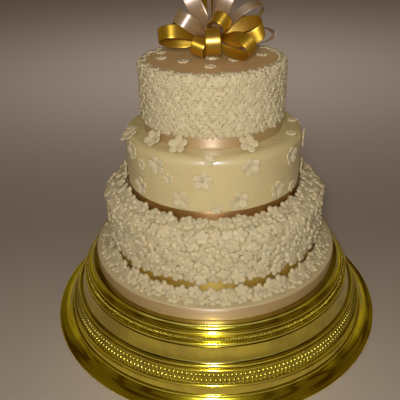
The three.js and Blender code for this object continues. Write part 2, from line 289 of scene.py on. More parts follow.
def icingMaterial(name, colour, second, smoothest, roughest, even, patchScale=30.0, grainScale=1500.0):
    return makeMaterial(name, sugarPaste, {
        "Colour": (*colour, 1), "Second Colour": (*second, 1), "Patch Scale": patchScale,
        "Grain Scale": grainScale, "Smoothest": smoothest, "Roughest": roughest,
    }, even, relief=0.15, reliefDepth=0.1 * mm)


# The threads run along the ribbon, so its gloss is stretched across them.
def satinMaterial(name, colour, sheenColour, smoothest, roughest, even):
    material = makeMaterial(name, satinWeave, {
        "Colour": (*colour, 1), "Streak Colour": (*sheenColour, 1), "Smoothest": smoothest, "Roughest": roughest,
    }, even | {"Anisotropic Rotation": 0.25}, relief=0.1, reliefDepth=0.03 * mm)
    tree = material.node_tree
    along = addNode(tree, "ShaderNodeTangent", direction_type="UV_MAP", uv_map="along")
    tree.links.new(along.outputs["Tangent"], tree.nodes["Principled BSDF"].inputs["Tangent"])
    return material


# The piece's own tint, from 0 to 1 at each point, leads the colour over to another one. On the gold the tint
# paints shade; on blossoms and icing it is their own tone.
def tinted(material, colour):
    tree = material.node_tree
    base = tree.nodes["Principled BSDF"].inputs["Base Color"]
    tint = addNode(tree, "ShaderNodeAttribute", attribute_name="tint").outputs["Fac"]
    tree.links.new(mixed(tree, tint, base.links[0].from_socket, (*colour, 1)), base)
    return material


# Petals carry a tint that differs from blossom to blossom.
def blossomMaterial(name, pale, deep, even):
    return tinted(icingMaterial(name, pale, deep, 0.6, 0.72, even, patchScale=160.0, grainScale=2500.0), deep)


petalSheen = {"Specular IOR Level": 0.2, "Subsurface Weight": 0.4, "Subsurface Scale": 2.5 * mm,
              "Subsurface Radius": (1.0, 0.9, 0.75)}
blossomPaste = blossomMaterial("blossomPaste", (0.79, 0.71, 0.49), (0.70, 0.61, 0.39), petalSheen)
finePaste = blossomMaterial("finePaste", (0.80, 0.72, 0.50), (0.68, 0.59, 0.38),
                            petalSheen | {"Subsurface Weight": 0.15, "Subsurface Scale": 0.8 * mm})
ivoryIcing = icingMaterial("ivoryIcing", (0.76, 0.66, 0.37), (0.72, 0.61, 0.33), 0.26, 0.38,
                           {"Specular IOR Level": 0.45, "Coat Weight": 0.3, "Coat Roughness": 0.12})
# The bottom tier's icing is a deeper ivory than its blossoms: painted shade in the gaps between them.
tierIcing = icingMaterial("tierIcing", (0.66, 0.54, 0.31), (0.60, 0.48, 0.26), 0.45, 0.6,
                          {"Specular IOR Level": 0.4})
topSideColour = (0.66, 0.57, 0.37)  # between the small blossoms, where the tint is 1
topIcing = tinted(icingMaterial("topIcing", (0.86, 0.60, 0.34), (0.81, 0.55, 0.30), 0.36, 0.48,
                                {"Specular IOR Level": 0.4}), topSideColour)
boardIcing = icingMaterial("boardIcing", (0.68, 0.58, 0.36), (0.63, 0.53, 0.31), 0.36, 0.48,
                           {"Specular IOR Level": 0.4})
satinGloss = {"Anisotropic": 0.8, "Coat Weight": 0.75, "Coat Roughness": 0.34, "Coat IOR": 1.7}
champagneSatin = satinMaterial("champagneSatin", (0.55, 0.378, 0.175), (0.61, 0.435, 0.22), 0.42, 0.5,
                               satinGloss | {"Metallic": 0.3, "Coat Weight": 0.6})
bronzeSatin = satinMaterial("bronzeSatin", (0.29, 0.135, 0.016), (0.34, 0.17, 0.028), 0.42, 0.5,
                            satinGloss | {"Metallic": 0.45, "Coat Weight": 0.5})
oldGoldSatin = satinMaterial("oldGoldSatin", (0.50, 0.325, 0.04), (0.56, 0.385, 0.065), 0.4, 0.48,
                             satinGloss | {"Metallic": 0.5, "Coat Weight": 0.4})
goldSatin = satinMaterial("goldSatin", (0.56, 0.32, 0.016), (0.62, 0.37, 0.028), 0.4, 0.48,
                          satinGloss | {"Metallic": 0.75, "Coat Weight": 0.2, "Coat Roughness": 0.3})
creamSatin = satinMaterial("creamSatin", (0.40, 0.265, 0.14), (0.56, 0.405, 0.26), 0.42, 0.5,
                           satinGloss | {"Metallic": 0.4, "Coat Weight": 0.25, "Coat Roughness": 0.34})


# Gold lacquer over metal. Its tint leads to a dark brown that paints shade in the hollows of the profile, at
# the feet of the beads and on the plate beside the drum.
paintedShadeGold = (0.10, 0.055, 0.006)


def goldMaterial(name, colour, reflectionColour, smoothest, roughest, even):
    return tinted(makeMaterial(name, turnedPolish, {
        "Colour": (*colour, 1), "Thin Colour": (*reflectionColour, 1), "Smoothest": smoothest, "Roughest": roughest,
    }, {"Metallic": 1.0} | even, relief=0.1, reliefDepth=0.05 * mm), paintedShadeGold)


lacquer = {"Coat Weight": 1.0, "Coat Roughness": 0.08, "Coat IOR": 1.9}
polishedGold = goldMaterial("polishedGold", (0.94, 0.79, 0.03), (0.68, 0.53, 0.012), 0.12, 0.2, lacquer)
# The beads' gold is a darker, rougher copy of the polished gold; its darker colour is painted shade over the
# small beads.
beadedGold = goldMaterial("beadedGold", (0.44, 0.35, 0.012), (0.36, 0.28, 0.008), 0.24, 0.32,
                          lacquer | {"Coat Weight": 0.3, "Coat Roughness": 0.2})
print("materials made")


# The stand: a turned shell, and beads set round it in rows.
stand = {
    "columns": 300,
    "dullAbove": 77.7 * mm,  # the plate beside the drum, darkened with painted shade
    "plateDullness": 0.55,
    "hollowDullness": 1.6,
    "fineBeads": {"radius": 168.3 * mm, "height": 65.9 * mm, "size": 1.4 * mm, "count": 360, "lean": 22,
                  "stretch": (0.8, 1.35, 1), "slant": 0, "offset": 0},
    "lowBeads": {"radius": 187.3 * mm, "height": 26.4 * mm, "size": 2.15 * mm, "count": 240, "lean": 26,
                 "stretch": (1, 1.45, 1), "slant": 24, "offset": 0},
    "highBeads": {"radius": 185.1 * mm, "height": 31.5 * mm, "size": 2.15 * mm, "count": 240, "lean": 26,
                  "stretch": (1, 1.45, 1), "slant": -24, "offset": 0.5},
}


# The stand's section (mm), from the axis underneath, out to the lip and up over its rolls to the plate.
def standProfile():
    inside = [[0, 76.4], [160, 73.5], [169, 58], [179, 34], [192, 8], [206, 0], [211.6, 0]]
    lip = arc((211.8, 1.2), 1.2, -90, 80)
    skirt = bowed((210.8, 2.5), (196.2, 9.4), -1.8)
    rollFive = arc((194.5, 10.8), 1.6, -45, 125)
    lowBand = bowed((193.4, 12.6), (191.6, 20.0), -0.35)
    rollFour = arc((190.2, 21.9), 2.0, -60, 115)
    beadSeat = [[189.3, 23.9], [188.2, 26.2], [186.2, 31.0], [184.6, 34.6]]
    thinRoll = arc((183.1, 36.3), 1.6, -70, 115)
    rollThree = arc((180.2, 39.9), 2.4, -60, 120)
    band = bowed((178.2, 42.6), (172.6, 58.4), -0.25, 16)
    rollTwo = arc((169.9, 61.1), 2.5, -55, 115)
    fineSeat = [[168.9, 63.6], [168.4, 65.5], [167.8, 67.6]]
    neck = bowed((167.2, 67.9), (165.6, 68.4), -0.2, 4)
    rollOne = arc((164.4, 70.3), 2.1, -60, 100, 12)
    shoulder = bowed((163.4, 73.0), (159.6, 77.2), -0.7, 8)
    plate = [[158.9, 77.8], [158.0, 78.0], [90, 78.0], [0, 78.0]]
    pieces = [inside, lip, skirt, rollFive, lowBand, rollFour, beadSeat, thinRoll, rollThree, band,
              rollTwo, fineSeat, neck, rollOne, shoulder, plate]
    return np.concatenate([np.asarray(piece, float) for piece in pieces]) * mm


# Half a ball, its flat side closed: rings of points at equal angles from its pole, 92 degrees down.
def beadShape(columns=10, rings=4):
    fall = np.radians(np.linspace(0, 92, rings + 1))[1:, None]
    column = np.arange(columns)
    ring = aroundAxis(np.sin(fall), fullTurn * column / columns, np.cos(fall))
    points = np.concatenate([[[0, 0, 1]], ring.reshape(-1, 3)])
    cap = np.stack([0 * column, 1 + column, 1 + (column + 1) % columns], -1)
    walls = gridFaces(rings, columns, 1)[:, ::-1]
    back = (1 + (rings - 1) * columns + column)[::-1][None]
    return points, [cap, walls, back]


# Copies of a shape: each has a centre, three axes as the rows of a matrix, and a size.
def copies(shape, centres, axes, sizes):
    points, faceSets = shape
    placed = centres[:, None] + np.einsum("pk,nkj->npj", points, axes) * sizes[:, None, None]
    step = (np.arange(len(centres)) * len(points))[:, None, None]
    return placed.reshape(-1, 3), [(faces[None] + step).reshape(-1, faces.shape[1]) for faces in faceSets]


# Axes of things set round the cake: out of the surface, along it, and across, from the angle
# round the axis and the tilt of the surface from level; then spun about the outward one.
def axesOn(angle, tilt, spin):
    level = np.stack([-np.sin(angle), np.cos(angle), 0 * angle], -1)
    out = aroundAxis(np.sin(tilt), angle, np.cos(tilt))
    up = np.cross(out, level)
    first = np.cos(spin)[:, None] * level + np.sin(spin)[:, None] * up
    return np.stack([first, np.cross(out, first), out], 1)


# A row of beads, each stretched across the row and slanted. A bead is darkened with painted shade at its
# foot, up to just over half its height.
def beadRow(name):
    row = stand[name]
    shape = beadShape()
    angle = fullTurn * (np.arange(row["count"]) + row["offset"]) / row["count"]
    even = 0 * angle
    axes = axesOn(angle, even + math.radians(90 - row["lean"]), even + math.radians(row["slant"]))
    axes = axes * np.array(row["stretch"])[:, None]
    points, faces = copies(shape, aroundAxis(row["radius"], angle, row["height"]), axes, even + row["size"])
    footShade = np.clip(1.1 - 1.9 * shape[0][:, 2], 0, 1)
    makePiece(name, points, faces, beadedGold, tint=np.tile(footShade, row["count"]))


# How much painted shade each point of a profile gets: the sine of the turn there, where it turns in, made
# stronger.
def hollowShade(profile):
    along = np.diff(profile, axis=0)
    along = along / np.maximum(np.linalg.norm(along, axis=1), 1e-9)[:, None]
    turn = along[:-1, 0] * along[1:, 1] - along[:-1, 1] * along[1:, 0]
    return np.concatenate([[0], np.clip(-stand["hollowDullness"] * turn, 0, 1), [0]])


def makeStand():
    profile = standProfile()
    points, faces = turned(profile, stand["columns"])
    # Painted shade: dark brown on the plate beside the drum and in the hollows of the profile.
    paintedShade = np.where(profile[:, 1] > stand["dullAbove"], stand["plateDullness"], hollowShade(profile))
    tint = np.concatenate([[0, 0], np.repeat(paintedShade[1:-1], stand["columns"])])  # the two poles come first
    makePiece("standShell", points, faces, polishedGold, ["cake_stand"],
              tint=tint, crease=38)
    for row in ("fineBeads", "lowBeads", "highBeads"):
        beadRow(row)
    print("stand made")


makeStand()


# Icing: the drum and the bodies of the tiers.
icing = {
    "columns": 288,
    "drumEdge": 1.6 * mm,  # radius of each rounded top edge
    "bottomEdge": 7 * mm,
    "middleEdge": 9 * mm,
    "topEdge": 4 * mm,
    "waver": 0.28 * mm,  # how far hand-smoothed icing strays from round
}


# A cylinder with a rounded top edge, from its base up to its top.
def tierProfile(radius, base, top, edge, sideSteps=12, edgeSteps=14, topSteps=10):
    side = np.linspace(base, top - edge, sideSteps)
    corner = arc((radius - edge, top - edge), edge, 0, 90, edgeSteps)[1:]
    inward = np.linspace(radius - edge, 0, topSteps)[1:]
    return np.concatenate([
        [[0, base]], np.stack([0 * side + radius, side], -1), corner,
        np.stack([inward, 0 * inward + top], -1)])


# Icing strays outwards and inwards by a sum of slow sines of its angle and height, and the stray
# fades towards the axis.
def wavered(points, amount, waveHeight=40 * mm, fadeRadius=30 * mm):
    angle = np.arctan2(points[:, 1], points[:, 0])
    height = points[:, 2] / waveHeight
    stray = np.sin(3 * angle + 0.7 * height) + 0.6 * np.sin(7 * angle - 1.9 * height + 2)
    stray = (stray + 0.35 * np.sin(13 * angle + 3.1 * height + 4)) / 2
    scale = 1 + amount * stray / np.maximum(np.hypot(points[:, 0], points[:, 1]), fadeRadius)
    return points * np.stack([scale, scale, np.ones_like(scale)], -1)


def makeIcing():
    bodies = [
        ("drumIcing", drumRadius, standTop, drumTop, "drumEdge", boardIcing, "board_icing", "cake_drum"),
        ("bottomIcing", bottomRadius, drumTop, middleBase, "bottomEdge", tierIcing, "blossom_paste",
         "bottom_tier"),
        ("middleIcing", middleRadius, middleBase, topBase, "middleEdge", ivoryIcing, "ivory_icing",
         "middle_tier"),
        ("topIcingBody", topRadius, topBase, cakeTop, "topEdge", topIcing, "ivory_icing", "top_tier"),
    ]
    for name, radius, base, top, edge, material, slot, node in bodies:
        points, faces = turned(tierProfile(radius, base, top, icing[edge]), icing["columns"])
        side = points[:, 2] < top - icing[edge] / 20  # all but the flat top
        makePiece(name, wavered(points, icing["waver"]), faces, material, [node],
                  tint=side.astype(float), crease=50)
    print("icing made")


makeIcing()


# Ribbons: a band round each tier, its end lapped over its start at the back.
ribbon = {
    "thickness": 0.45 * mm,
    "standOff": 0.35 * mm,  # clear of the icing's waver
    "lap": 14 * mm,
    "lapGap": 0.1 * mm,
    "wander": 0.25 * mm,  # up and down on its way round
    "clearBelow": 0.2 * mm,  # each edge stays inside the frame's ribbon
    "clearAbove": 0.1 * mm,
    "steps": 300,
    "across": 7,  # points over one face
}


# A thin strip along a path: at each step a centre, a widthways and an outward direction and a
# half width; its section is flat for most of its width and closed at both edges.
# Points are centre + widthways * half * s + outward * (+-thickness/2 * sqrt(1 - s^32) + fold).
def strip(centres, widthways, outward, half, thickness, across, fold=None):
    s = np.concatenate([[-1], np.linspace(-0.97, 0.97, across - 2), [1]])
    s = np.concatenate([s, s[-2:0:-1]])
    face = np.concatenate([np.ones(across), -np.ones(across - 2)])
    depth = face * thickness / 2 * np.sqrt(1 - s ** 32)
    lift = depth + (0 if fold is None else fold(s))
    points = (centres[:, None] + widthways[:, None] * (half[:, None] * s)[..., None]
              + outward[:, None] * (np.zeros((len(centres), 1)) + lift)[..., None])
    run = np.concatenate([[0], np.cumsum(np.linalg.norm(np.diff(centres, axis=0), axis=1))])
    uv = np.stack(np.broadcast_arrays(run[:, None], (s + 1) / 2), -1)
    columns = len(s)
    first = np.arange(columns)[::-1][None]
    last = (len(centres) - 1) * columns + np.arange(columns)[None]
    faces = [gridFaces(len(centres), columns), first, last]
    return points.reshape(-1, 3), faces, uv.reshape(-1, 2)


# The band runs once round from the back; its radius grows by a ribbon's thickness over the lap.
def ribbonRound(radius, low, high):
    start = math.pi / 2
    lap = ribbon["lap"] / radius
    angle = start + np.linspace(0, fullTurn + lap, ribbon["steps"])
    over = np.clip((angle - start - fullTurn + lap) / lap, 0, 1)
    ease = over * over * (3 - 2 * over)
    out = radius + ribbon["standOff"] + ease * (ribbon["thickness"] + ribbon["lapGap"])
    middle = (low + high) / 2 + ribbon["wander"] * np.sin(2 * angle + 1) * np.sin((angle - start) / 2)
    outward = aroundAxis(1, angle, 0)
    upward = np.zeros_like(outward) + [0, 0, 1]
    half = np.full(len(angle), (high - low) / 2)
    return strip(aroundAxis(out, angle, middle), upward, outward, half, ribbon["thickness"], ribbon["across"])


def makeRibbons():
    bands = [
        ("drumSatin", drumRadius, champagneSatin, "champagne_satin", "drum_ribbon"),
        ("bottomSatin", bottomRadius, oldGoldSatin, "gold_satin", "bottom_ribbon"),
        ("middleSatin", middleRadius, bronzeSatin, "bronze_satin", "middle_ribbon"),
        ("topSatin", topRadius, champagneSatin, "champagne_satin", "top_ribbon"),
    ]
    for name, radius, material, slot, node in bands:
        points, faces, uv = ribbonRound(radius, bottomOf(node) + ribbon["clearBelow"],
                                        topOf(node) - ribbon["clearAbove"])
        makePiece(name, points, faces, material, [node], uv=uv)
    print("ribbons made")


makeRibbons()


# A blossom is five round petals cut from paste and pressed in the middle. Each petal is a circle of
# size petal, its centre at distance from the blossom's. The outline goes round each petal in equal
# angles, from one notch to the next. The front rises to a cushion where q, the share of the petal's
# circle, is small: sqrt(1 - q^3), down to the rim's share of the thickness. The whole is cupped by
# lift times the square of its share, and its back is a little smaller and sunk in the icing.
def blossomShape(radius, thickness, lift, sunk, perPetal, shares, rim=0.45, fullness=0.66):
    petals = 5
    halfPetal = math.radians(180 / petals)
    distance = radius / (1 + fullness)
    petal = fullness * distance
    notch = halfPetal + math.asin(math.sin(halfPetal) / fullness)
    around = notch * np.linspace(-1, 1, perPetal, endpoint=False)
    turn = np.tile(np.arctan2(petal * np.sin(around), distance + petal * np.cos(around)), petals)
    outline = np.tile(np.hypot(petal * np.sin(around), distance + petal * np.cos(around)), petals)
    angle = turn + 2 * halfPetal * np.repeat(np.arange(petals), perPetal)
    reach = np.asarray(shares)[:, None] * outline
    q = np.sqrt(reach ** 2 + distance ** 2 - 2 * reach * distance * np.cos(turn)) / petal
    cushion = np.sqrt(1 - np.clip(q, 0, 1) ** 3)
    height = lift * (reach / radius) ** 2 + thickness * (rim + (1 - rim) * cushion)
    under = 0.96 * outline
    rings = aroundAxis(reach, angle, height).reshape(-1, 3)
    back = aroundAxis(under, angle, lift * (under / radius) ** 2 - sunk)
    points = np.concatenate([[[0, 0, rim * thickness]], rings, back])
    columns = len(turn)
    column = np.arange(columns)
    cap = np.stack([0 * column, 1 + column, 1 + (column + 1) % columns], -1)
    walls = gridFaces(len(shares) + 1, columns, 1)[:, ::-1]
    close = (1 + len(shares) * columns + column)[::-1][None]
    return points, [cap, walls, close]


# A piece of blossoms in rows round the cake. Each row is (radius, height, tilt from level, spacing).
# They lie in layers that go round in threes, so that each overlaps its neighbours, and every one
# strays a little in place, tilt, spin, size and tint, as sugar work put on by hand does.
def makeRows(name, rows, flower, stray, sunk, material, node, seed, deeper=0.0):
    shape = blossomShape(flower["radius"], flower["thickness"], flower["lift"], sunk,
                         flower["perPetal"], flower["shares"], flower["rim"])
    draw = np.random.default_rng(seed)
    parts = []
    for order, (radius, height, tilt, spacing) in enumerate(rows):
        count = 3 * round(fullTurn * radius / spacing / 3)
        angle = fullTurn * (np.arange(count) + 0.5 * (order % 2)) / count
        angle = angle + draw.normal(0, stray["aside"] / radius, count)
        layer = (np.arange(count) + order * 2) % 3
        parts.append(np.broadcast_arrays(angle, radius, height, math.radians(tilt), layer))
    angle, radius, height, tilt, layer = np.concatenate(parts, axis=1)
    total = len(angle)
    slide = draw.normal(0, stray["along"], total)
    raised = stray["layer"] * (layer + draw.uniform(-0.2, 0.2, total))
    radius = radius - slide * np.cos(tilt) + raised * np.sin(tilt)
    height = height + slide * np.sin(tilt) + raised * np.cos(tilt)
    tilt = tilt + np.radians(draw.normal(0, stray["tilt"], total))
    yaw = angle + np.radians(draw.normal(0, stray["tilt"], total))
    axes = axesOn(yaw, tilt, draw.uniform(0, fullTurn, total))
    sizes = draw.normal(1, stray["size"], total).clip(0.85, 1.15)
    points, faces = copies(shape, aroundAxis(radius, angle, height), axes, sizes)
    tint = np.repeat(draw.beta(1.4, 3.0, total), len(shape[0]))
    makePiece(name, points, faces, material, [node], tint=np.clip(tint + deeper, 0, 1))
    print("  " + name + ":", total)


# Rows up a tier's side from a first height, over its rounded edge and inwards to a last radius.
def rowsUpTier(radius, first, top, edge, inner, pitch, spacing):
    sideLength = top - edge - first
    edgeLength = edge * math.pi / 2
    wholeLength = sideLength + edgeLength + (radius - edge - inner)
    rows = []
    for along in np.linspace(0, wholeLength, round(wholeLength / pitch) + 1):
        past = along - sideLength
        turn = min(max(past / edge, 0), math.pi / 2)
        inward = max(past - edgeLength, 0)
        rows.append((radius - edge + edge * math.cos(turn) - inward,
                     top - edge + edge * math.sin(turn) + min(past, 0),
                     90 - math.degrees(turn), spacing))
    return rows


bottomFlowers = {
    "radius": 9.2 * mm, "thickness": 2.6 * mm, "lift": 0.8 * mm, "pitch": 8.7 * mm, "spacing": 13.4 * mm,
    "perPetal": 5, "shares": (0.66, 1.0), "rim": 0.12,
    "outBy": 0.5 * mm, "firstBelow": 0.2 * mm, "topAbove": 0.6 * mm,  # from the icing and its ribbon
    "lastRow": 16 * mm,  # from the middle tier, on the ledge
    "stray": {"aside": 1.0 * mm, "along": 0.7 * mm, "layer": 1.2 * mm, "tilt": 6, "size": 0.05},
    "wilder": {"aside": 2.2 * mm, "along": 1.0 * mm, "layer": 0.9 * mm, "tilt": 8, "size": 0.06},
    # out from the middle tier and up from the ledge, tilt, spacing
    "edgeRows": [(10.2 * mm, 3.6 * mm, 26, 15 * mm), (8.4 * mm, 5.0 * mm, 38, 19 * mm)],
    # in from the drum's side and up from its top, tilt, spacing
    "drumRows": [(12.5 * mm, 1.0 * mm, 6, 14.5 * mm), (15.5 * mm, 3.8 * mm, 34, 15.5 * mm),
                 (17.5 * mm, 6.6 * mm, 56, 17 * mm)],
}
topFlowers = {
    "radius": 4.3 * mm, "thickness": 1.9 * mm, "lift": 0.1 * mm, "pitch": 4.7 * mm, "spacing": 7.1 * mm,
    "perPetal": 5, "shares": (0.66, 1.0), "rim": 0.05,
    "outBy": 0.4 * mm, "firstAbove": 0.5 * mm, "topAbove": 0.2 * mm,
    "lastRow": 3 * mm,  # in from the side
    "stray": {"aside": 0.5 * mm, "along": 0.35 * mm, "layer": 0.6 * mm, "tilt": 6, "size": 0.06},
}


def makeBottomBlossoms():
    flower = bottomFlowers
    rows = rowsUpTier(bottomRadius + flower["outBy"], topOf("bottom_ribbon") - flower["firstBelow"],
                      middleBase + flower["topAbove"], icing["bottomEdge"], middleRadius + flower["lastRow"],
                      flower["pitch"], flower["spacing"])
    edge = [(middleRadius + out, middleBase + up, *others) for out, up, *others in flower["edgeRows"]]
    makeRows("bottomBlossoms", rows, flower, flower["stray"], 1.2 * mm, blossomPaste, "bottom_tier", seed=5)
    makeRows("edgeBlossoms", edge, flower, flower["wilder"], 1.2 * mm, blossomPaste, "bottom_tier", seed=6)


def makeDrumBlossoms():
    flower = bottomFlowers
    rows = [(drumRadius - inwards, drumTop + up, *others) for inwards, up, *others in flower["drumRows"]]
    makeRows("drumBlossoms", rows, flower, flower["wilder"], 1.0 * mm, blossomPaste, "cake_drum", seed=17,
             deeper=0.5)


def makeTopBlossoms():
    flower = topFlowers
    rows = rowsUpTier(topRadius + flower["outBy"], topOf("top_ribbon") + flower["firstAbove"],
                      cakeTop + flower["topAbove"], icing["topEdge"], topRadius - flower["lastRow"],
                      flower["pitch"], flower["spacing"])
    makeRows("topBlossoms", rows, flower, flower["stray"], 0.8 * mm, finePaste, "top_tier", seed=29)


makeBottomBlossoms()
makeDrumBlossoms()
makeTopBlossoms()
print("packed blossoms made")


# Scattered blossoms. The frame's large ones are read for their place: the middle of the node, the
# direction it faces, which is its thinnest and points away from the axis a little below it, and the
# way its first petal points.
scattered = {
    "largeRadius": 11 * mm, "largeSizes": (0.96, 1.02), "largeThickness": 2.0 * mm, "largeLifts": (0.9, 1.9),
    "largeShares": (0.12, 0.25, 0.38, 0.52, 0.66, 0.8, 0.9, 0.96, 0.99, 1.0),
    "smallRadius": 6.5 * mm, "smallThickness": 1.5 * mm, "smallLift": 0.8 * mm, "smallSunk": 0.8 * mm,
    "smallShares": (0.2, 0.4, 0.6, 0.8, 0.94, 1.0),
    "sideTurns": 0.54, "topTurns": 0.7, "topTilt": 0.06,  # each is spun on from the one before (radians)
    # on the middle tier: angle round the cake, height up the side or over its edge (mm)
    "smallOnSide": [(-48, 56), (-27, 49), (-2, 73.5), (67, 82), (57, 20), (1.5, 18.5), (94, 84), (-82, 86),
                    (-170, 50)],
    # on the top tier: distance from the axis (mm), angle round the cake
    "smallOnTop": [(41, -3), (27, 63), (35, -62), (56, -92), (56, 99), (66, -117), (62, 140), (58, -170)],
}


def placeOfBlossom(node, aimBelow=40 * mm):
    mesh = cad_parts[node].data
    points = np.empty(len(mesh.vertices) * 3, np.float32)
    mesh.vertices.foreach_get("co", points)
    points = points.reshape(-1, 3).astype(float)
    middle = (points.min(0) + points.max(0)) / 2
    points = np.unique(np.round(points - middle, 6), axis=0)
    facing = np.linalg.svd(points - points.mean(0))[2][2]
    outward = middle - np.array([0, 0, middle[2] - aimBelow])
    facing = facing * np.sign(facing @ outward)
    furthest = points[np.argmax(np.linalg.norm(points, axis=1))]
    first = furthest - facing * (furthest @ facing)
    first = first / np.linalg.norm(first)
    lowest = (points @ facing).min()
    return middle + lowest * facing, np.stack([first, np.cross(facing, first), facing])


def makeLargeBlossoms():
    nodes = sorted(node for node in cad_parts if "blossom" in node)
    draw = np.random.default_rng(41)
    for node in nodes:
        centre, axes = placeOfBlossom(node)
        shape = blossomShape(scattered["largeRadius"] * draw.uniform(*scattered["largeSizes"]),
                             scattered["largeThickness"], draw.uniform(*scattered["largeLifts"]) * mm, 0.0,
                             14, scattered["largeShares"])
        points, faces = copies(shape, centre[None], axes[None], np.ones(1))
        tint = np.full(len(points), draw.uniform(0, 0.35))
        makePiece(node.replace("_", ""), points, faces, blossomPaste, [node], tint=tint)
    print("large blossoms made:", len(nodes))


# On the middle tier's side each small blossom stands upright up to the rounded edge, and past it
# leans over by the angle that its height makes there.
def makeSmallBlossoms():
    shape = blossomShape(scattered["smallRadius"], scattered["smallThickness"], scattered["smallLift"],
                         scattered["smallSunk"], 10, scattered["smallShares"])
    edge = icing["middleEdge"]
    bearing, up = np.array(scattered["smallOnSide"], float).T
    angle = np.radians(bearing - 90)
    past = np.clip((up * mm - (topBase - middleBase - edge)) / edge, 0, math.pi / 2)
    height = np.where(past > 0, topBase - edge * (1 - np.sin(past)), middleBase + up * mm)
    centres = aroundAxis(middleRadius - edge * (1 - np.cos(past)), angle, height)
    axes = axesOn(angle, math.pi / 2 - past, np.arange(len(up)) * scattered["sideTurns"])
    onSide = copies(shape, centres, axes, np.ones(len(up)))
    reach, bearing = np.array(scattered["smallOnTop"], float).T
    angle = np.radians(bearing - 90)
    centres = aroundAxis(reach * mm, angle, cakeTop)
    axes = axesOn(angle, 0 * reach + scattered["topTilt"], np.arange(len(reach)) * scattered["topTurns"])
    onTop = copies(shape, centres, axes, np.ones(len(reach)))
    for name, (points, faces), node, tint in (("smallBlossomsSide", onSide, "middle_tier", 0.15),
                                              ("smallBlossomsTop", onTop, "top_tier", 0.1)):
        makePiece(name, points, faces, blossomPaste, [node], tint=np.full(len(points), tint))
    print("small blossoms made")


makeLargeBlossoms()
makeSmallBlossoms()


# The bow: loops of satin from a bound knot, on a pad of icing.
bow = {
    "knotHeight": 19 * mm, "knotRadius": 7 * mm, "rootRadius": 8 * mm, "width": 15 * mm, "pinched": 3.6 * mm,
    "openedBy": 20 * mm, "thickness": 0.5 * mm, "steps": 84, "across": 13,
    "lead": 0.3,  # the part of a turn that each pinched end leaves out
    "gathers": 0.55 * mm, "knotFolds": 0.045,
    "clearance": 0.3 * mm, "padClearance": 0.2 * mm,
}
# node, angle round the cake, rise and roll in degrees, length and opening in mm, twist, drift in mm
loops = [
    ("gold_loop_1", -69, 10, -51, 60, 27, 14, -2), ("gold_loop_2", -27, -5, -15, 35, 19, 13, 0),
    ("gold_loop_3", 2, 8, 3, 43, 27, -5, 0), ("gold_loop_4", 47, -2, 24, 56, 24, 0, 0),
    ("gold_loop_5", 70, 15, 99, 59, 16, -42, 6), ("gold_loop_6", 19, 40, 47, 42, 20, -20, 0),
    ("gold_loop_7", 129, 13, 19, 59, 16, 3, 0), ("gold_loop_8", 166, 8, 10, 54, 18, 0, 0),
    ("gold_loop_9", -125, 10, 0, 54, 18, 0, 0), ("gold_loop_10", -150, 50, -13, 47, 16, 13, 0),
    ("gold_loop_11", 165, 48, 62, 56, 14, -1, 0), ("cream_loop_1", -63, 36, 91, 49, 24, -23, -1),
    ("cream_loop_2", -79, 64, 79, 60, 19, 0, 0), ("cream_loop_3", 91, 89, 14, 61, 7, 0, 0),
    ("cream_loop_4", 61, 66, -74, 57, 16, -14, 0), ("cream_loop_5", 86, 33, 16, 64, 21, -60, 6),
    ("cream_loop_6", 102, 2, -12, 70, 17, 0, 0),
]


# A drop-shaped curve: out = root + reach (1 - cos phase), across = opening/2 sin phase
# (0.15 + 0.95 sin(phase/2)) / 0.87, and its two halves drift apart widthways in the same way. The
# ribbon widens from its pinched ends and turns by the twist, and its gathers fade as it opens.
def loopStrip(azimuth, rise, roll, length, opening, twist, drift):
    phase = np.linspace(bow["lead"], fullTurn - bow["lead"], bow["steps"])
    reach = (length * mm - bow["rootRadius"]) / 2
    drop = np.sin(phase) * (0.15 + 0.95 * np.sin(phase / 2)) / 0.87
    out = bow["rootRadius"] + reach * (1 - np.cos(phase))
    across, side = opening * mm / 2 * drop, drift * mm * drop
    opened = np.clip((out - bow["rootRadius"]) / bow["openedBy"], 0, 1)
    opened = opened * opened * (3 - 2 * opened)
    width = bow["pinched"] + (bow["width"] - bow["pinched"]) * opened
    along = np.stack([np.gradient(out), np.gradient(across), np.gradient(side)], -1)
    along = along / np.linalg.norm(along, axis=1)[:, None]
    turn = math.radians(twist) * (phase / math.pi - 1) / 2
    aside = np.stack([0 * out, np.sin(turn), np.cos(turn)], -1)
    normal = np.cross(aside, along)
    normal = normal / np.linalg.norm(normal, axis=1)[:, None]
    bearing, climb, rolled = (math.radians(value) for value in (azimuth, rise, roll))
    level = np.array([math.cos(bearing), math.sin(bearing), 0])
    forward = np.array([math.sin(bearing), -math.cos(bearing), 0])
    outward = forward * math.cos(climb) + [0, 0, math.sin(climb)]
    widthways = level * math.cos(rolled) + np.cross(outward, level) * math.sin(rolled)
    basis = np.stack([outward, np.cross(widthways, outward), widthways])
    centres = np.stack([out, across, side], -1) @ basis + [0, 0, cakeTop + bow["knotHeight"]]
    closed = (1 - opened)[:, None]
    return strip(centres, aside @ basis, -normal @ basis, width / 2, bow["thickness"], bow["across"],
                 lambda s: bow["gathers"] * closed * np.cos(3 * math.pi * s))


def makeBow():
    for node, *values in loops:
        points, faces, uv = loopStrip(*values)
        gold = node.startswith("gold")
        makePiece(node.replace("_", ""), points, faces, goldSatin if gold else creamSatin,
                  [node], uv=uv)
    print("loops made:", len(loops))


# The knot is a ball with the folds of a tightly wound ribbon: its radius waves with its height
# and angle. The threads run round it.
def makeKnot():
    fall = np.linspace(0, math.pi, 40)
    points, faces = turned(np.stack([np.sin(fall), -np.cos(fall)], -1), 64)
    angle = np.arctan2(points[:, 1], points[:, 0])
    folds = np.cos(9 * points[:, 2] + 1.5 * np.sin(angle)) * (1 - points[:, 2] ** 2)
    size = (1 + bow["knotFolds"] * folds) * (bow["knotRadius"] - bow["clearance"])
    points = points * size[:, None] + [0, 0, cakeTop + bow["knotHeight"]]
    uv = np.stack([angle / 20, points[:, 2] * 60], -1)
    makePiece("bowKnot", points, faces, goldSatin, ["bow_knot"], uv=uv)


